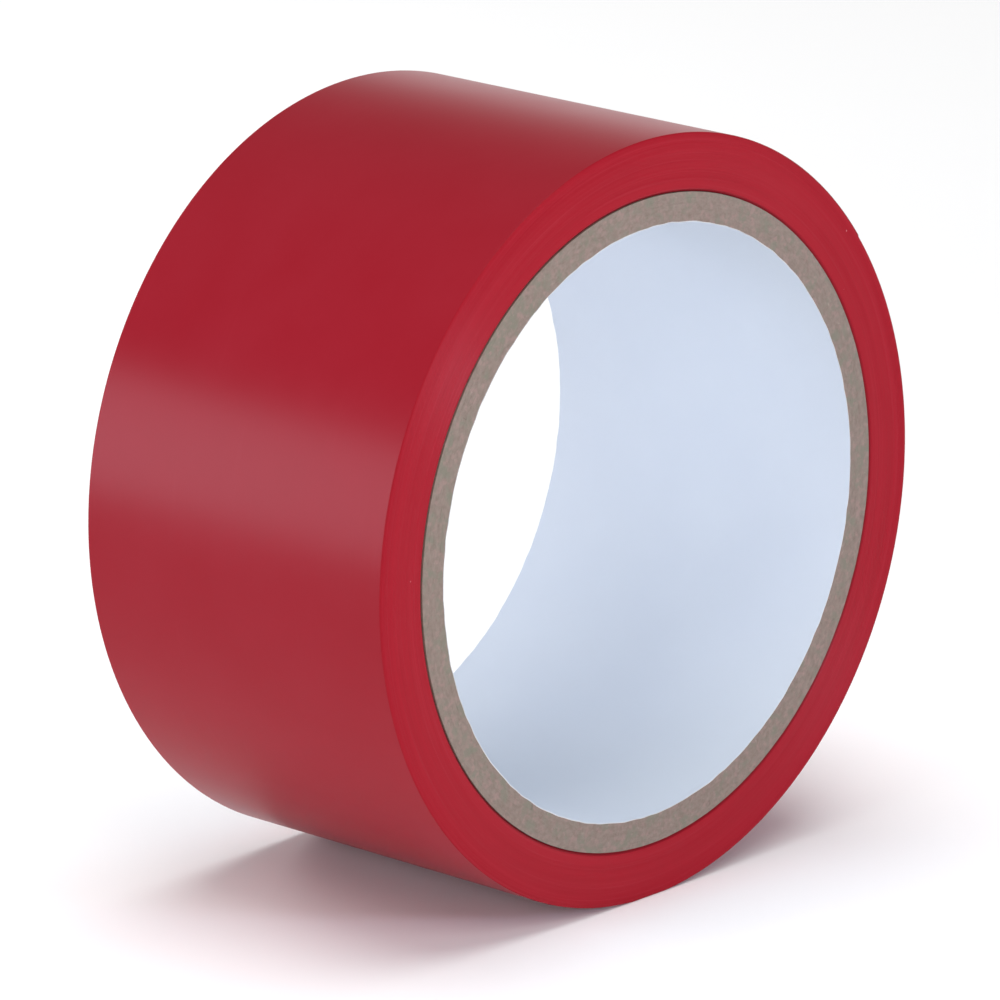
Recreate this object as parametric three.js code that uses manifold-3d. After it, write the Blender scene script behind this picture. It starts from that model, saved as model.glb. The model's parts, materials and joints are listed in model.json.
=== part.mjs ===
// Electrical tape roll: soft PVC tape wound on a spiral-wound board core that is lined with paper.
// Millimetres, +Z up. The roll stands on its rim with its axis along Y. The origin is on the surface
// that the roll stands on, under the middle of the core. Angles are in degrees about the roll's axis,
// from +X towards +Z.

import * as THREE from 'three';
import { mergeVertices } from 'three/addons/utils/BufferGeometryUtils.js';
import Module from 'manifold-3d';

const wasm = await Module();
wasm.setup();

// The tape is one film, wound tight: each turn lies on the one before it.
const tapeWidth = 50;
const backingThickness = 0.11;
const adhesiveThickness = 0.02;
const tapeTurns = 57;

// The free end lies on the turn under it as far as the line where it peels off.
const freeEndAngle = 37;
const tailLength = 20;
const peelSlit = 0.05;

// The soft film is pressed flat where the roll stands on its rim.
const footDepth = 0.5;

// The core is a paper liner and board plies, each a strip wound in a helix with its edges butted.
const boreRadius = 38.1;
const linerThickness = 0.1;
const plyThickness = 0.67;
const plyCount = 5;
const glueLine = 0.05;
const tapeToCoreGap = 0.05;
const coreRecess = 0.1;

// A strip 127 wide moves this far along the core in one turn.
const stripAdvance = 147;
const seamGap = 0.3;
const linerSeamAngle = 98;
const seamStagger = 137;

const coreFacets = 72;
const turnFacets = 144;
const tailFacets = 10;
const seamSteps = 24;
const cutOverrun = 1;

const fullTurn = 360;
const layerPitch = backingThickness + adhesiveThickness;
const coreWidth = tapeWidth - 2 * coreRecess;
const coreRadius = boreRadius + linerThickness + plyCount * (glueLine + plyThickness);
const windingInnerRadius = coreRadius + tapeToCoreGap;
const windingOuterRadius = windingInnerRadius + tapeTurns * layerPitch;
const axisHeight = windingOuterRadius - footDepth;
const tailArc = THREE.MathUtils.radToDeg(tailLength / windingOuterRadius);
const slitArc = THREE.MathUtils.radToDeg(peelSlit / windingOuterRadius);
const peelTurned = tailArc - slitArc;

const tapeRed = new THREE.MeshStandardMaterial({ color: 0xa8303d, roughness: 0.38, metalness: 0 });
const boardGrey = new THREE.MeshStandardMaterial({ color: 0x96847a, roughness: 0.92, metalness: 0 });
const paperWhite = new THREE.MeshStandardMaterial({ color: 0xd4dff0, roughness: 0.8, metalness: 0 });

function namedMesh(name, geometry, material) {
  const mesh = new THREE.Mesh(geometry, material.clone());
  mesh.name = name;
  return mesh;
}

function solidOf(geometry) {
  const bare = geometry.clone();
  bare.deleteAttribute('normal');
  bare.deleteAttribute('uv');
  const closed = mergeVertices(bare);
  return new wasm.Manifold(new wasm.Mesh({
    numProp: 3,
    vertProperties: new Float32Array(closed.attributes.position.array),
    triVerts: new Uint32Array(closed.index.array),
  }));
}

function geometryOf(solid) {
  const { vertProperties, triVerts } = solid.getMesh();
  const geometry = new THREE.BufferGeometry();
  geometry.setAttribute('position', new THREE.BufferAttribute(vertProperties, 3));
  geometry.setIndex(new THREE.BufferAttribute(triVerts, 1));
  geometry.computeVertexNormals();
  return geometry;
}

// A point on the film, so many degrees of winding back from its free end, so deep under its face.
function filmPoint(turned, depth) {
  const radius = windingOuterRadius - layerPitch * turned / fullTurn - depth;
  const angle = THREE.MathUtils.degToRad(freeEndAngle + turned);
  return new THREE.Vector2(radius * Math.cos(angle), radius * Math.sin(angle));
}

function evenStops(from, to, steps) {
  return Array.from({ length: steps + 1 }, (_, i) => from + (to - from) * i / steps);
}

// An outline across the roll's axis becomes a body as wide as the tape, centred on the core.
function acrossTheRoll(shape) {
  const body = new THREE.ExtrudeGeometry(shape, { depth: tapeWidth, bevelEnabled: false });
  body.rotateX(Math.PI / 2);
  body.translate(0, tapeWidth / 2, 0);
  return body;
}

// The outermost turn winds in a spiral by one film, and ends in a step at the peel line.
function windingOutline() {
  const shown = evenStops(tailArc, fullTurn, turnFacets);
  const underTail = evenStops(fullTurn, fullTurn + tailArc, tailFacets).slice(1);
  const outline = new THREE.Shape([...shown, ...underTail].map((turned) => filmPoint(turned, 0)));
  const bore = new THREE.Path();
  bore.setFromPoints(evenStops(0, fullTurn, coreFacets).slice(1).map((angle) => {
    const turn = THREE.MathUtils.degToRad(angle);
    return new THREE.Vector2(Math.cos(turn), Math.sin(turn)).multiplyScalar(windingInnerRadius);
  }));
  outline.holes.push(bore);
  return outline;
}

function makeWinding() {
  const wound = solidOf(acrossTheRoll(windingOutline()));
  const reach = windingOuterRadius + cutOverrun;
  const surface = new THREE.BoxGeometry(2 * reach, tapeWidth + 2 * cutOverrun, reach);
  surface.translate(0, 0, -axisHeight - reach / 2);
  return geometryOf(wound.subtract(solidOf(surface)));
}

// The free end follows the turn under it, and its hinge is the outer edge of its peel line.
function makeTail(peelLine) {
  const stops = [...evenStops(0, tailArc, tailFacets).slice(0, -1), peelTurned];
  const outside = stops.map((turned) => filmPoint(turned, 0));
  const inside = stops.map((turned) => filmPoint(turned, backingThickness)).reverse();
  const body = acrossTheRoll(new THREE.Shape([...outside, ...inside]));
  body.translate(-peelLine.x, 0, -peelLine.y);
  return body;
}

function makeTube(innerRadius, thickness) {
  const outerRadius = innerRadius + thickness;
  const corners = [[innerRadius, -1], [outerRadius, -1], [outerRadius, 1], [innerRadius, 1], [innerRadius, -1]];
  const profile = corners.map(([radius, side]) => new THREE.Vector2(radius, side * coreWidth / 2));
  return new THREE.LatheGeometry(profile, coreFacets);
}

// A bar through the tube's wall, turned about the core's axis as the strip is wound.
function makeSeamCutter(innerRadius, thickness, seamAngle) {
  const length = coreWidth + 2 * cutOverrun;
  const cutter = new THREE.BoxGeometry(thickness + 2 * cutOverrun, length, seamGap, 1, seamSteps, 1);
  const places = cutter.attributes.position;
  for (let i = 0; i < places.count; i += 1) {
    const along = places.getY(i) + coreWidth / 2;
    const turn = THREE.MathUtils.degToRad(seamAngle + fullTurn * along / stripAdvance);
    const radial = innerRadius + thickness / 2 + places.getX(i);
    const across = places.getZ(i);
    places.setX(i, radial * Math.cos(turn) - across * Math.sin(turn));
    places.setZ(i, radial * Math.sin(turn) + across * Math.cos(turn));
  }
  return cutter;
}

function makePly(innerRadius, thickness, seamAngle) {
  const tube = solidOf(makeTube(innerRadius, thickness));
  const seam = solidOf(makeSeamCutter(innerRadius, thickness, seamAngle));
  return geometryOf(tube.subtract(seam));
}

function makeCore() {
  const core = new THREE.Group();
  core.add(namedMesh('core_liner', makePly(boreRadius, linerThickness, linerSeamAngle), paperWhite));
  for (let i = 0; i < plyCount; i += 1) {
    const innerRadius = boreRadius + linerThickness + glueLine + i * (plyThickness + glueLine);
    const seamAngle = linerSeamAngle + (i + 1) * seamStagger;
    core.add(namedMesh(`core_ply_${i + 1}`, makePly(innerRadius, plyThickness, seamAngle), boardGrey));
  }
  return core;
}

function makeTape() {
  const tape = new THREE.Group();
  tape.add(namedMesh('tape_winding', makeWinding(), tapeRed));
  const peelLine = filmPoint(peelTurned, 0);
  const tail = namedMesh('tape_tail', makeTail(peelLine), tapeRed);
  tail.position.set(peelLine.x, 0, peelLine.y);
  tape.add(tail);
  console.log(`peel line at x ${peelLine.x.toFixed(4)}, z ${(peelLine.y + axisHeight).toFixed(4)}`);
  return tape;
}

const tapeLength = Math.PI * (windingInnerRadius + windingOuterRadius) * tapeTurns;
console.log(`core ${(2 * boreRadius).toFixed(1)} to ${(2 * coreRadius).toFixed(1)} across`);
console.log(`roll ${(2 * windingOuterRadius).toFixed(2)} across, axis at z ${axisHeight.toFixed(3)}`);
console.log(`tape ${tapeLength.toFixed(0)} long in ${tapeTurns} turns`);

const roll = new THREE.Group();
roll.add(makeCore(), makeTape());
roll.position.z = axisHeight;

export default roll;
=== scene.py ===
"""Looks of an electrical tape roll, in metres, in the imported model's frame: soft PVC tape wound on a
spiral-wound board core lined with paper. Angles go about the roll's axis, from +X towards +Z."""

import json
import math
from typing import NamedTuple

import bmesh
import bpy
import numpy as np
from mathutils import Matrix, Vector


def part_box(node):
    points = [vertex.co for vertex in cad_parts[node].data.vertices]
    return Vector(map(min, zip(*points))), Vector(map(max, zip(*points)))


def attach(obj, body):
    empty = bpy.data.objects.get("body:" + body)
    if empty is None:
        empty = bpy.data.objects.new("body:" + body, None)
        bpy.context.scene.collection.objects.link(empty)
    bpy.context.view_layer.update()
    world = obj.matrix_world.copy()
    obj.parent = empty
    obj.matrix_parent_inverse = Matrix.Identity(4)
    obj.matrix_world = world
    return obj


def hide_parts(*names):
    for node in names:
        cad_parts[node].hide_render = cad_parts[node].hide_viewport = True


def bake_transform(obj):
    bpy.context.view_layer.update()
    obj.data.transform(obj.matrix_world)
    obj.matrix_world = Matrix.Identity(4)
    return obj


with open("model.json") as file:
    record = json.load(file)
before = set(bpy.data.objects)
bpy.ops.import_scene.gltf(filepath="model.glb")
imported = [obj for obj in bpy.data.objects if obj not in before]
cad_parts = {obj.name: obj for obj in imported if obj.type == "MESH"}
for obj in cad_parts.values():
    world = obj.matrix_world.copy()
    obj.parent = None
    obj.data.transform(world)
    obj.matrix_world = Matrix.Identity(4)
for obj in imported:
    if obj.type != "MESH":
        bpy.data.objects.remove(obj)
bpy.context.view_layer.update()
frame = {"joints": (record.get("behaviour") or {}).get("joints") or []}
bpy.context.scene.view_settings.view_transform = "Standard"

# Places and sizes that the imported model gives
liner_low, liner_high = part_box("core_liner")
AXIS_Z = (liner_low.z + liner_high.z) / 2
HALF_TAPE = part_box("tape_winding")[1].y
HALF_CORE = liner_high.y
LINER_OUTER = liner_high.x
CORE_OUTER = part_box("core_ply_5")[1].x
PEEL = Vector(frame["joints"][0]["pos_m"])
PEEL_RADIUS = math.hypot(PEEL.x, PEEL.z - AXIS_Z)
PEEL_ANGLE = math.atan2(PEEL.z - AXIS_Z, PEEL.x)

# The wound film, whose face lies a hair under the hinge at the peel line, and the arc of its free end
SKIN_PLAY = 0.000005
OUTSIDE = PEEL_RADIUS - SKIN_PLAY
LAYER = 0.00013
TAPE_TO_CORE = 0.00005
WINDING_INNER = CORE_OUTER + TAPE_TO_CORE
FREE_END_ANGLE = math.radians(37)
TAIL_ARC = PEEL_ANGLE - FREE_END_ANGLE
TAIL_SHARE = TAIL_ARC / math.tau

# The core's strips
PLY_COUNT = 5
LINER_THICKNESS = 0.0001
PLY_THICKNESS = 0.00067
GLUE_LINE = 0.00005
STRIP_ADVANCE = 0.147
LINER_SEAM = math.radians(98)
SEAM_STAGGER = math.radians(137)

# How finely the meshes are cut, and what counts as one point, as no edge and as a sharp edge
WINDING_STEPS = 360
RIM_ROWS = 40
TAIL_STEPS = 96
TAIL_ROWS = 24
CORE_STEPS = 360
SEAM_ROWS = 36
CUT_ROWS = 6
SAME_POINT = 1e-7
NO_EDGE = 1e-8
SHARP_ANGLE = math.radians(40)


def smooth(value):
    """A step from 0 to 1 with soft ends."""
    clipped = np.clip(value, 0, 1)
    return clipped * clipped * (3 - 2 * clipped)


# How far a ripple may shift over half the tape's width, in radians
MOST_SLANT = 3


def ripple(angle, across, seed, orders):
    """A wave of height 1 at most round the roll, closed on itself and a little aslant."""
    rng = np.random.default_rng(seed)
    total = 0
    for order in orders:
        phase, slant = rng.uniform(0, math.tau), rng.uniform(-MOST_SLANT, MOST_SLANT)
        total = total + np.sin(order * angle + phase + slant * across / HALF_TAPE)
    return total / len(orders)


def place(angle, radius, across):
    """Points at these angles, radii and distances along the roll's axis."""
    return np.stack(
        [radius * np.cos(angle), across + 0 * angle, AXIS_Z + radius * np.sin(angle)], axis=-1
    )


def close_at_ends(steps):
    """Stops from 0 to 1 that lie closer together towards both ends."""
    return (1 - np.cos(np.linspace(0, math.pi, steps + 1))) / 2


def between(first, second, steps):
    """Rows of points at even steps from the first row to the second."""
    share = np.linspace(0, 1, steps + 1)[:, None, None]
    return first * (1 - share) + second * share


# How far the floor presses the lowest turns flat, how far the lower half gives in all, and how
# steeply a radius has to point down before the floor can be in its way
FLAT_DEPTH = 0.0001
LOWEST_SHARE = (1.5 * math.pi - PEEL_ANGLE) / math.tau
GIVE = OUTSIDE - LAYER * LOWEST_SHARE - AXIS_Z - FLAT_DEPTH
FLOOR_SLOPE = 0.5


def pressed(angle, radius):
    """Radii of the wound film where the roll's weight squeezes the turns of its lower half."""
    outermost = OUTSIDE - LAYER * ((angle - PEEL_ANGLE) / math.tau % 1)
    below = np.maximum(-np.sin(angle), 0)
    left = np.minimum(outermost - GIVE * below**2, AXIS_Z / np.maximum(below, FLOOR_SLOPE))
    squeeze = (left - WINDING_INNER) / (outermost - WINDING_INNER)
    return WINDING_INNER + (radius - WINDING_INNER) * squeeze


def grid_faces(rows, columns, start):
    """Quads between neighbouring rows and columns of a lattice whose points start at that number."""
    row, column = np.meshgrid(np.arange(rows - 1), np.arange(columns - 1), indexing="ij")
    first = (start + row * columns + column).ravel()
    return np.stack([first, first + 1, first + columns + 1, first + columns], axis=-1)


class Body:
    """Lattices that share their borders point by point, gathered into one closed mesh that faces out."""

    def __init__(self):
        self.points, self.faces, self.slots, self.count = [], [], [], 0

    def lattice(self, points, slot):
        rows, columns = points.shape[:2]
        quads = grid_faces(rows, columns, self.count)
        self.points.append(points.reshape(-1, 3))
        self.faces.append(quads)
        self.slots.append(np.full(len(quads), slot))
        self.count += rows * columns

    def build(self, name, materials):
        mesh = bpy.data.meshes.new(name)
        mesh.from_pydata(np.concatenate(self.points).tolist(), [], np.concatenate(self.faces).tolist())
        mesh.polygons.foreach_set("material_index", np.concatenate(self.slots).astype(np.int32))
        for material in materials:
            mesh.materials.append(material)
        weld = bmesh.new()
        weld.from_mesh(mesh)
        bmesh.ops.remove_doubles(weld, verts=weld.verts, dist=SAME_POINT)
        bmesh.ops.dissolve_degenerate(weld, edges=weld.edges, dist=NO_EDGE)
        bmesh.ops.recalc_face_normals(weld, faces=weld.faces)
        weld.to_mesh(mesh)
        weld.free()
        mesh.shade_smooth()
        mesh.set_sharp_from_angle(angle=SHARP_ANGLE)
        piece = bpy.data.objects.new(name, mesh)
        bpy.context.scene.collection.objects.link(piece)
        return piece


# Nodes that the materials and the world are made of


def feed(tree, socket, value):
    """Sets a socket to a value, or links it where the value is another node's output."""
    if isinstance(value, bpy.types.NodeSocket):
        tree.links.new(value, socket)
    else:
        socket.default_value = value


def node(tree, kind, **inputs):
    made = tree.nodes.new(kind)
    for name, value in inputs.items():
        feed(tree, made.inputs[name], value)
    return made


def maths(tree, operation, first, second):
    made = tree.nodes.new("ShaderNodeMath")
    made.operation = operation
    feed(tree, made.inputs[0], first)
    feed(tree, made.inputs[1], second)
    return made.outputs[0]


def noise(tree, vector, scale, detail, roughness=0.5):
    return node(
        tree, "ShaderNodeTexNoise", Vector=vector, Scale=scale, Detail=detail, Roughness=roughness
    ).outputs["Fac"]


def spread(tree, value, source, target=(0, 1)):
    """The value carried from the source range to the target range, and held at its ends."""
    made = node(tree, "ShaderNodeMapRange", Value=value)
    for name, number in zip(("From Min", "From Max", "To Min", "To Max"), (*source, *target)):
        made.inputs[name].default_value = number
    return made.outputs["Result"]


def mix(tree, share, first, second):
    """A mix of two colours, each written as a colour or read from a socket."""
    made = tree.nodes.new("ShaderNodeMix")
    made.data_type = "RGBA"
    values = {"Factor": share, "A": first, "B": second}
    for socket in made.inputs:
        if socket.name in values and socket.enabled:
            value = values[socket.name]
            feed(tree, socket, (*value, 1.0) if isinstance(value, tuple) else value)
    return next(output for output in made.outputs if output.enabled)


def bump(tree, height, strength, distance, below=None):
    made = node(tree, "ShaderNodeBump", Height=height, Strength=strength, Distance=distance)
    if below is not None:
        tree.links.new(below, made.inputs["Normal"])
    return made.outputs["Normal"]


def vector_maths(tree, operation, vector):
    made = tree.nodes.new("ShaderNodeVectorMath")
    made.operation = operation
    tree.links.new(vector, made.inputs[0])
    return made


class RollCoordinates(NamedTuple):
    """Where a point of the surface is: in space, from the roll's axis, round the roll as a point on a
    unit circle, and along the axis."""

    point: bpy.types.NodeSocket
    radius: bpy.types.NodeSocket
    direction: bpy.types.Node
    across: bpy.types.NodeSocket


def roll_coordinates(tree):
    point = tree.nodes.new("ShaderNodeTexCoord").outputs["Object"]
    parts = node(tree, "ShaderNodeSeparateXYZ", Vector=point)
    height = maths(tree, "SUBTRACT", parts.outputs["Z"], AXIS_Z)
    flat = node(tree, "ShaderNodeCombineXYZ", X=parts.outputs["X"], Z=height).outputs[0]
    radius = vector_maths(tree, "LENGTH", flat).outputs["Value"]
    unit = vector_maths(tree, "NORMALIZE", flat).outputs[0]
    direction = node(tree, "ShaderNodeSeparateXYZ", Vector=unit)
    return RollCoordinates(point, radius, direction, parts.outputs["Y"])


def ring_noise(tree, at, fine, fine_scale, round_scale, detail, shift=0.0, roughness=0.5):
    """Noise in marks that run round the roll. It changes fast with the fine coordinate and slowly round
    the roll. A shift gives another pattern."""
    vector = node(
        tree, "ShaderNodeCombineXYZ",
        X=maths(tree, "MULTIPLY", fine, fine_scale),
        Y=maths(tree, "ADD", maths(tree, "MULTIPLY", at.direction.outputs["X"], round_scale), shift),
        Z=maths(tree, "MULTIPLY", at.direction.outputs["Z"], round_scale),
    ).outputs[0]
    return noise(tree, vector, 1.0, detail, roughness)


def new_material(name, specular):
    material = bpy.data.materials.new(name)
    material.use_nodes = True
    shader = material.node_tree.nodes["Principled BSDF"]
    shader.inputs["Specular IOR Level"].default_value = specular
    return material, material.node_tree, shader


def finish_shader(tree, shader, colour, roughness, normal):
    feed(tree, shader.inputs["Base Color"], colour)
    feed(tree, shader.inputs["Roughness"], roughness)
    feed(tree, shader.inputs["Normal"], normal)


# Materials. Scales of noise are in periods to the metre, and depths of bumps in metres


def film_material():
    """The film's glossy back: soft red PVC with faint lines along the tape and an orange-peel skin."""
    deep_red, light_red, line_red = (0.288, 0.009, 0.019), (0.296, 0.011, 0.022), (0.33, 0.02, 0.032)
    material, tree, shader = new_material("tape_film_back", specular=0.10)
    at = roll_coordinates(tree)
    lines = ring_noise(tree, at, at.across, 900, 3, detail=4)
    cloud = noise(tree, at.point, 90, detail=4)
    peel = noise(tree, at.point, 1400, detail=2)
    colour = mix(tree, spread(tree, cloud, (0.3, 0.7)), deep_red, light_red)
    colour = mix(tree, spread(tree, lines, (0.62, 0.78), (0, 0.2)), colour, line_red)
    gloss = spread(tree, cloud, (0.25, 0.75), (0.276, 0.298))
    skin = bump(tree, peel, strength=0.10, distance=0.00002)
    finish_shader(tree, shader, colour, gloss, bump(tree, lines, 0.12, 0.00003, below=skin))
    return material


# How far from the tape's inner edge the painted shade of the crease beside the core fades, and the radii
# between which the outer turns grow duller
CREASE_SHADE_REACH = (0.00015, 0.00042)
OUTER_TURNS = (0.0460, 0.0480)


def edge_material():
    """The slit edges of the turns: duller than the film's back, with thin rings where turns differ,
    painted shade in the crease beside the core, a little dust, and gloss that is drawn out across the
    rings."""
    deep_red, light_red, ring_red = (0.292, 0.006, 0.015), (0.318, 0.009, 0.019), (0.37, 0.03, 0.045)
    # The second of the next three colours is painted shade for the crease beside the core; the third is
    # dust
    dull_red, painted_shade_red, dust_pink = (0.26, 0.008, 0.016), (0.14, 0.006, 0.010), (0.62, 0.28, 0.30)
    material, tree, shader = new_material("tape_slit_edge", specular=0.09)
    at = roll_coordinates(tree)
    rings = ring_noise(tree, at, at.radius, 5200, 1.6, detail=2)
    bands = ring_noise(tree, at, at.radius, 900, 1.1, detail=2, shift=4.0)
    cloud = noise(tree, at.point, 60, detail=3)
    specks = node(tree, "ShaderNodeTexVoronoi", Vector=at.point, Scale=420.0)
    speck = maths(tree, "LESS_THAN", specks.outputs["Distance"], 0.05)
    rare = maths(tree, "GREATER_THAN", noise(tree, at.point, 130, detail=1), 0.66)
    dust = maths(tree, "MULTIPLY", maths(tree, "MULTIPLY", speck, rare), 0.6)
    # Painted shade: the innermost turns darken towards the core, where the crease lies in shade
    crease = spread(tree, at.radius, [WINDING_INNER + reach for reach in CREASE_SHADE_REACH], (0.65, 0))
    colour = mix(tree, spread(tree, bands, (0.3, 0.7)), deep_red, light_red)
    colour = mix(tree, spread(tree, rings, (0.55, 0.8), (0, 0.35)), colour, ring_red)
    colour = mix(tree, spread(tree, cloud, (0.55, 0.8), (0, 0.25)), colour, dull_red)
    # Paints shade into the crease beside the core
    colour = mix(tree, crease, colour, painted_shade_red)
    colour = mix(tree, dust, colour, dust_pink)
    banded = spread(tree, bands, (0.3, 0.7), (0.33, 0.39))
    gloss = maths(tree, "ADD", banded, spread(tree, at.radius, OUTER_TURNS, (0, 0.12)))
    finish_shader(tree, shader, colour, gloss, bump(tree, rings, 0.25, 0.00003))
    shader.inputs["Anisotropic"].default_value = 0.95
    shader.inputs["Anisotropic Rotation"].default_value = 0.25
    tangent = tree.nodes.new("ShaderNodeTangent")
    tangent.direction_type = "RADIAL"
    tangent.axis = "Y"
    tree.links.new(tangent.outputs[0], shader.inputs["Tangent"])
    return material


def adhesive_material():
    """The sticky side of the film, a darker and wetter red."""
    deep_red, light_red = (0.25, 0.010, 0.016), (0.31, 0.018, 0.026)
    material, tree, shader = new_material("tape_adhesive", specular=0.5)
    cloud = noise(tree, tree.nodes.new("ShaderNodeTexCoord").outputs["Object"], 260, detail=4)
    colour = mix(tree, spread(tree, cloud, (0.35, 0.7)), deep_red, light_red)
    finish_shader(tree, shader, colour, 0.18, bump(tree, cloud, 0.3, 0.00005))
    return material


def board_material():
    """Grey chipboard, cut across: blotches of pulp, short fibres, and dark and pale specks."""
    dark_pulp, light_pulp = (0.197, 0.149, 0.122), (0.262, 0.208, 0.174)
    green_pulp, pink_pulp = (0.188, 0.184, 0.139), (0.300, 0.205, 0.182)
    pale_speck, dark_speck = (0.40, 0.34, 0.295), (0.13, 0.095, 0.08)
    material, tree, shader = new_material("core_chipboard", specular=0.15)
    at = roll_coordinates(tree)
    streaks = ring_noise(tree, at, at.radius, 1900, 45, detail=5, roughness=0.65)
    grain = noise(tree, at.point, 1100, detail=4, roughness=0.7)
    greenish = noise(tree, at.point, 620, detail=2)
    pinkish = ring_noise(tree, at, at.radius, 1300, 50, detail=2, shift=7.0)
    colour = mix(tree, spread(tree, streaks, (0.3, 0.7)), dark_pulp, light_pulp)
    colour = mix(tree, spread(tree, greenish, (0.5, 0.68), (0, 0.75)), colour, green_pulp)
    colour = mix(tree, spread(tree, pinkish, (0.52, 0.70), (0, 0.7)), colour, pink_pulp)
    colour = mix(tree, spread(tree, grain, (0.64, 0.78), (0, 0.5)), colour, pale_speck)
    colour = mix(tree, spread(tree, grain, (0.34, 0.24), (0, 0.6)), colour, dark_speck)
    rough = bump(tree, grain, strength=0.5, distance=0.00012)
    finish_shader(tree, shader, colour, 0.9, bump(tree, streaks, 0.4, 0.0001, below=rough))
    return material


def paper_material(name, low, high, roughness):
    """Bleached paper in cloudy shades from low to high, with faint fibres."""
    material, tree, shader = new_material(name, specular=0.25)
    where = tree.nodes.new("ShaderNodeTexCoord").outputs["Object"]
    cloud = noise(tree, where, 70, detail=4)
    fibre = noise(tree, where, 1100, detail=4, roughness=0.6)
    colour = mix(tree, spread(tree, cloud, (0.3, 0.7)), low, high)
    finish_shader(tree, shader, colour, roughness, bump(tree, fibre, 0.12, 0.00003))
    return material


FILM = film_material()
EDGE = edge_material()
ADHESIVE = adhesive_material()
BOARD = board_material()
PAPER = paper_material("core_liner_paper", (0.59, 0.645, 0.72), (0.61, 0.665, 0.735), 0.6)
PAPER_EDGE = paper_material("core_liner_cut_edge", (0.50, 0.50, 0.50), (0.62, 0.62, 0.62), 0.85)

# The material slots of the film's pieces and of the core's
BACK, SLIT, STICKY = 0, 1, 2
WALL, CUT = 0, 1

# The wound tape: its rounded outer edges, the grooves between turns, the crease beside the core, the
# hollows of its rim, and how many turns are modelled one by one
ROUNDING_WIDTH = 0.00055
ROUNDING_DEPTH = 0.00025
CHAMFER_SHARE = 0.1
GROOVE_DEPTH = 0.00001
CREASE_WIDTH = 0.00045
CREASE_DEPTH = 0.0003
HOLLOW_DEPTH = 0.000008
HOLLOW_FADE_SHARE = 0.25
HOLLOW_SEED = 3
SPIRAL_TURNS = 55
END_RAMP_SHARE = 0.002

# How far the turns lie behind each other: in a slow drift, from turn to turn and in a few steps, and
# how much that changes round the roll
TURNS_SEED = 11
SPARE_TURNS = 6
SLOW_TURNS = 9
SLOW_OFFSET = 0.00002
QUICK_OFFSET = 0.000004
STEPS_AFTER_TURNS = ((9, 0.000016), (22, 0.00001), (38, 0.000012))
OFFSET_SWING_SHARE = 0.5
SWING_SEED = 5


def covered_radius(share):
    """Radius of the roll's outside, so great a share of a turn past the peel line, free end and all."""
    under_tail = smooth((share - (1 - TAIL_SHARE)) / END_RAMP_SHARE)
    return OUTSIDE - LAYER * share + LAYER * under_tail


def edge_rounding(depth):
    """How far the slit side draws in, so deep under the roll's outside: round, from a faint ridge."""
    outward = np.clip(1 - depth / ROUNDING_WIDTH, 0, 1)
    arc = 1 - np.sqrt(1 - outward**2)
    return ROUNDING_DEPTH * (CHAMFER_SHARE * outward + (1 - CHAMFER_SHARE) * arc)


def turn_offsets(layers):
    """How far each turn lies behind the foremost one: turns never wind quite flush."""
    rng = np.random.default_rng(TURNS_SEED)
    count = SPIRAL_TURNS + SPARE_TURNS
    drift = rng.normal(size=count + 2 * SPARE_TURNS)
    slow = np.convolve(drift, np.ones(SLOW_TURNS) / SLOW_TURNS, mode="valid")[:count]
    quick = rng.normal(size=count)
    heights = SLOW_OFFSET * slow / np.abs(slow).max() + QUICK_OFFSET * quick
    for layer, height in STEPS_AFTER_TURNS:
        heights[:layer] += height / 2
        heights[layer:] -= height / 2
    heights = heights.max() - heights
    return np.interp(layers, np.arange(count), heights)


def winding_side(side):
    """One slit side of the winding, a lattice along the spiral of its turns, from the outside in."""
    share = np.linspace(0, 1, WINDING_STEPS + 1)
    angle = PEEL_ANGLE + math.tau * share
    rows = [OUTSIDE - LAYER * (half / 2 + share) for half in range(2 * SPIRAL_TURNS + 1)]
    last_circle = OUTSIDE - LAYER * (SPIRAL_TURNS + 1) + 0 * share
    rows += [(rows[-1] + last_circle) / 2, last_circle, WINDING_INNER + 0 * share]
    radius = np.stack(rows)
    groove = (np.arange(len(rows)) % 2 == 0)[:, None]
    swing = 1 + OFFSET_SWING_SHARE * ripple(angle, 0 * angle, SWING_SEED + side, (1, 2, 3))
    inward = radius - WINDING_INNER
    drawn_in = edge_rounding(covered_radius(share) - radius)
    drawn_in = drawn_in + turn_offsets((OUTSIDE - radius) / LAYER) * swing
    drawn_in = drawn_in + GROOVE_DEPTH * groove
    drawn_in = drawn_in + CREASE_DEPTH * (1 - smooth(inward / CREASE_WIDTH))
    across = side * (HALF_TAPE - drawn_in)
    angles = np.broadcast_to(angle, radius.shape)
    return place(angles, pressed(angles, radius), across)


def winding_rim(near, far):
    """The outermost turn's back, between the outermost rows of the two slit sides."""
    share = np.linspace(0, 1, WINDING_STEPS + 1)
    angle = np.broadcast_to(PEEL_ANGLE + math.tau * share, (RIM_ROWS + 1, WINDING_STEPS + 1))
    step = close_at_ends(RIM_ROWS)[:, None]
    across = near[:, 1] * (1 - step) + far[:, 1] * step
    hollow = HOLLOW_DEPTH * (1 + ripple(angle, across, HOLLOW_SEED, (2, 3, 5, 7, 11))) / 2
    hollow = hollow * smooth(step / HOLLOW_FADE_SHARE) * smooth((1 - step) / HOLLOW_FADE_SHARE)
    rim = place(angle, pressed(angle, OUTSIDE - LAYER * share - hollow), across)
    rim[0], rim[-1] = near, far
    return rim


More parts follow.
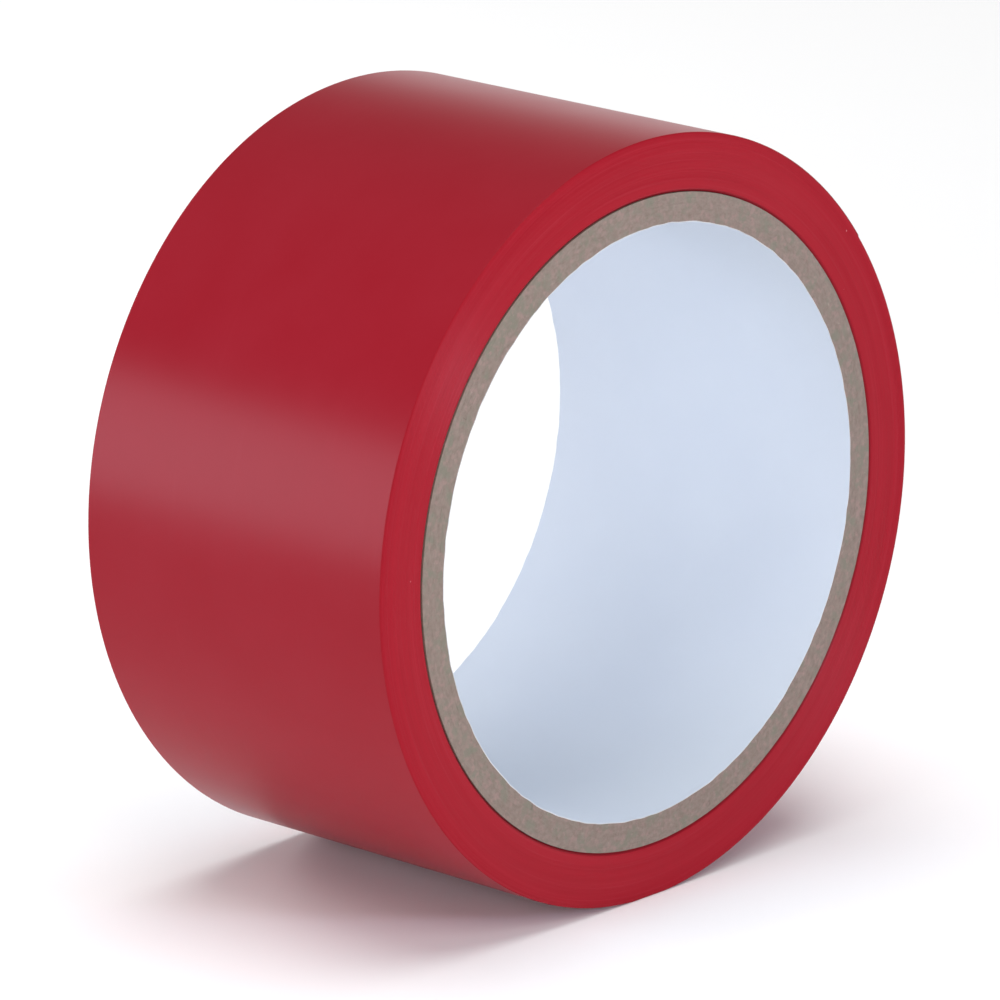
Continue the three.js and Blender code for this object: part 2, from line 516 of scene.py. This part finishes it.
def make_winding():
    near, far = winding_side(-1), winding_side(1)
    rim = winding_rim(near[0], far[0])
    end_step = between(rim[:, 0], rim[:, -1], 2)
    end_step[1, 0], end_step[1, -1] = near[1, 0], far[1, 0]
    body = Body()
    body.lattice(near, SLIT)
    body.lattice(far, SLIT)
    body.lattice(rim, BACK)
    body.lattice(np.stack([near[-1], far[-1]]), BACK)
    body.lattice(end_step, SLIT)
    piece = body.build("tape_winding_turns", [FILM, EDGE])
    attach(piece, "roll")
    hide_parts("tape_winding")


# The free end: a hair thinner than the film that it stands for, with one corner just lifting, and how
# far past the peel line it bends
TAIL_THICKNESS = 0.000124
CORNER_LIFT = 0.00012
LIFT_REACH = 0.005


def make_tail():
    """The free end of the film, laid on the turn under it."""
    share = np.linspace(0, 1, TAIL_STEPS + 1)[:, None]
    turned = TAIL_ARC * (1 - share)
    angle = FREE_END_ANGLE + turned
    outside = OUTSIDE + LAYER * (TAIL_ARC - turned) / math.tau
    step = 2 * close_at_ends(TAIL_ROWS)[None, :] - 1
    to_end = turned * OUTSIDE
    lift = CORNER_LIFT * np.clip(1 - to_end / LIFT_REACH, 0, 1) ** 2 * np.maximum(step, 0) ** 3
    faces = []
    for depth in (0.0, TAIL_THICKNESS):
        half = HALF_TAPE - edge_rounding(np.array(depth))
        across = half * step + 0 * angle
        faces.append(place(angle + 0 * across, outside - depth + lift, across))
    top, under = faces
    body = Body()
    body.lattice(top, BACK)
    body.lattice(under, STICKY)
    for border in (0, -1):
        body.lattice(np.stack([top[:, border], under[:, border]]), SLIT)
        body.lattice(np.stack([top[border], under[border]]), SLIT)
    piece = body.build("tape_free_end", [FILM, EDGE, ADHESIVE])
    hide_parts("tape_tail")
    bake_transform(piece)


# The core: the gaps of its butt seams and between its plies, the roughness of its cut ends, and the
# burr that the knife left there
SEAM_GAP = 0.00012
PLY_GAP = 0.000006
BOARD_ROUGHNESS = 0.00004
LINER_ROUGHNESS = 0.00003
BURR = 0.00015
BURR_REACH = 0.0012
BROAD_BURR_SEED = 21
BROAD_BURR_SHARE = 0.4
FINE_BURR_SEED = 22
FINE_BURR_SHARE = 0.7
MEAN_BURR_SHARE = 0.5
MICROMETRES = 1e6


def seam_angle(start, across):
    """Where a strip's seam lies at this distance along the axis."""
    return start + math.tau * (across + HALF_CORE) / STRIP_ADVANCE


def burr(angle, across):
    """How far the knife pushed the bore's edge inwards, near the two cut ends."""
    near_end = smooth(1 - (HALF_CORE - np.abs(across)) / BURR_REACH)
    broad = BROAD_BURR_SHARE * ripple(angle, 0, BROAD_BURR_SEED, (2, 3, 5))
    fine = FINE_BURR_SHARE * ripple(angle, 0, FINE_BURR_SEED, (19, 31, 43, 59, 71, 89))
    return BURR * near_end * np.clip(MEAN_BURR_SHARE + broad + fine, 0, 1)


def make_strip(name, inner, outer, seam, materials, burrs, rough):
    """A strip wound into a tube with its edges butted, its cut ends a little rough. The two burrs are
    the shares of the knife's burr that its inner and outer faces have."""
    gap = SEAM_GAP / outer
    share = np.linspace(0, 1, CORE_STEPS + 1)[None, :]
    across = HALF_CORE * (2 * close_at_ends(SEAM_ROWS)[:, None] - 1)
    angle = seam_angle(seam, across) + gap / 2 + (math.tau - gap) * share
    rng = np.random.default_rng(int(inner * MICROMETRES))
    walls = []
    for radius, burr_share in zip((inner, outer), burrs):
        walls.append(place(angle, radius - burr_share * burr(angle, across), across + 0 * angle))
    ends = []
    for row, side in ((0, -1), (-1, 1)):
        end = between(walls[0][row], walls[1][row], CUT_ROWS)
        uneven = rng.uniform(-1, 0, size=end.shape[:2])
        uneven = (uneven + np.roll(uneven, 1, axis=1) + np.roll(uneven, -1, axis=1)) / 3
        end[..., 1] += side * rough * uneven
        walls[0][row], walls[1][row] = end[0], end[-1]
        ends.append(end)
    body = Body()
    for wall in walls:
        body.lattice(wall, WALL)
    for end in ends:
        body.lattice(end, CUT)
    for column in (0, -1):
        butt = between(walls[0][:, column], walls[1][:, column], CUT_ROWS)
        butt[:, 0], butt[:, -1] = ends[0][:, column], ends[1][:, column]
        body.lattice(butt, CUT)
    piece = body.build(name, materials)
    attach(piece, "roll")
    return piece


def make_core():
    liner = make_strip(
        "core_paper_liner", LINER_OUTER - LINER_THICKNESS, LINER_OUTER, LINER_SEAM, [PAPER, PAPER_EDGE],
        burrs=(1, 1), rough=LINER_ROUGHNESS,
    )
    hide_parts("core_liner")
    for number in range(1, PLY_COUNT + 1):
        inner = LINER_OUTER + PLY_GAP + (number - 1) * (PLY_THICKNESS + GLUE_LINE)
        outer = inner + PLY_THICKNESS + GLUE_LINE - PLY_GAP
        ply = make_strip(
            f"core_board_ply_{number}", inner, outer, LINER_SEAM + number * SEAM_STAGGER, [BOARD, BOARD],
            burrs=(1 if number == 1 else 0, 0), rough=BOARD_ROUGHNESS,
        )
        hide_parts(f"core_ply_{number}")


# The studio. Azimuths, 0 at -Y and 90 at +X, and elevations above the horizon are in degrees
CAMERA_AZIMUTH = -47.51
CAMERA_ELEVATION = 16.09
CAMERA_DISTANCE = 1.0075
CAMERA_LENS = 292.2
SENSOR_WIDTH = 36
NEAREST_SEEN = 0.01
FARTHEST_SEEN = 50
AIM_RIGHT = -0.01897
AIM_UP = 0.00300
FLOOR_RADIUS = 8.0
FLOOR_WHITE = (0.98, 0.98, 0.98, 1)
FLOOR_ROUGHNESS = 1.0
SUN_STRENGTH = 1.75
SUN_ANGLE = math.radians(48)


def towards(azimuth, elevation):
    """The direction from the roll to what stands at this azimuth and elevation."""
    turn, lift = math.radians(azimuth), math.radians(elevation)
    return Vector((math.sin(turn) * math.cos(lift), -math.cos(turn) * math.cos(lift), math.sin(lift)))


def make_camera():
    back = towards(CAMERA_AZIMUTH, CAMERA_ELEVATION)
    turn = back.to_track_quat("Z", "Y").to_matrix()
    aim = Vector((0, -HALF_TAPE, AXIS_Z)) + turn.col[0] * AIM_RIGHT + turn.col[1] * AIM_UP
    data = bpy.data.cameras.new("camera")
    data.lens = CAMERA_LENS
    data.sensor_width = SENSOR_WIDTH
    data.clip_start, data.clip_end = NEAREST_SEEN, FARTHEST_SEEN
    camera = bpy.data.objects.new("camera", data)
    camera.matrix_world = Matrix.Translation(aim + back * CAMERA_DISTANCE) @ turn.to_4x4()
    bpy.context.scene.collection.objects.link(camera)
    bpy.context.scene.camera = camera


def make_floor():
    mesh = bpy.data.meshes.new("floor")
    corners = [(x * FLOOR_RADIUS, y * FLOOR_RADIUS, 0) for x, y in ((-1, -1), (1, -1), (1, 1), (-1, 1))]
    mesh.from_pydata(corners, [], [(0, 1, 2, 3)])
    floor = bpy.data.objects.new("floor", mesh)
    material, tree, shader = new_material("floor_white", specular=0.0)
    shader.inputs["Base Color"].default_value = FLOOR_WHITE
    shader.inputs["Roughness"].default_value = FLOOR_ROUGHNESS
    mesh.materials.append(material)
    bpy.context.scene.collection.objects.link(floor)


def make_world():
    """A white surround up to 7 degrees above the horizon that fades to a dim room from 27 degrees up,
    and is a little darker towards -X."""
    world = bpy.data.worlds.new("studio")
    world.use_nodes = True
    tree = world.node_tree
    background = tree.nodes["Background"]
    direction = tree.nodes.new("ShaderNodeTexCoord").outputs["Generated"]
    parts = node(tree, "ShaderNodeSeparateXYZ", Vector=direction)
    by_height = spread(tree, parts.outputs["Z"], (0.12, 0.45), (1.12, 0.26))
    by_side = spread(tree, parts.outputs["X"], (-0.8, 0.3), (0.85, 1.0))
    tree.links.new(maths(tree, "MULTIPLY", by_height, by_side), background.inputs["Strength"])
    background.inputs["Color"].default_value = (1, 1, 1, 1)
    bpy.context.scene.world = world


def area_lamp(name, azimuth, elevation, distance, size, radiance, colour=(1, 1, 1), turned=0):
    """A softbox that faces the roll, with the radiance that it shows, turned about its own axis."""
    width, height = size
    data = bpy.data.lights.new(name, "AREA")
    data.shape = "RECTANGLE"
    data.size, data.size_y = width, height
    data.energy = radiance * math.pi * width * height
    data.color = colour
    lamp = bpy.data.objects.new(name, data)
    away = towards(azimuth, elevation)
    facing = away.to_track_quat("Z", "Y").to_matrix().to_4x4()
    stand = Matrix.Translation(Vector((0, 0, AXIS_Z)) + away * distance)
    lamp.matrix_world = stand @ facing @ Matrix.Rotation(math.radians(turned), 4, "Z")
    lamp.visible_camera = False
    bpy.context.scene.collection.objects.link(lamp)


def make_lamps():
    data = bpy.data.lights.new("overhead", "SUN")
    data.energy = SUN_STRENGTH
    data.angle = SUN_ANGLE
    overhead = bpy.data.objects.new("overhead", data)
    bpy.context.scene.collection.objects.link(overhead)
    area_lamp("left_back", -131, 7, distance=0.55, size=(0.18, 0.24), radiance=6.5, colour=(1, 1, 1.15))
    area_lamp("front_high", -36, 31, distance=0.24, size=(0.09, 0.09), radiance=4.6)
    area_lamp("front_low", -35, 4, distance=0.35, size=(0.3, 0.09), radiance=1.0)
    area_lamp("back", 180, 20, distance=0.6, size=(0.3, 0.2), radiance=4.4)
    area_lamp(
        "strip", 12.5, 5, distance=0.28, size=(0.15, 0.03), radiance=11.0,
        colour=(1, 1.05, 1.4), turned=-36,
    )


make_camera()
make_world()
make_floor()
make_lamps()
make_winding()
make_tail()
make_core()
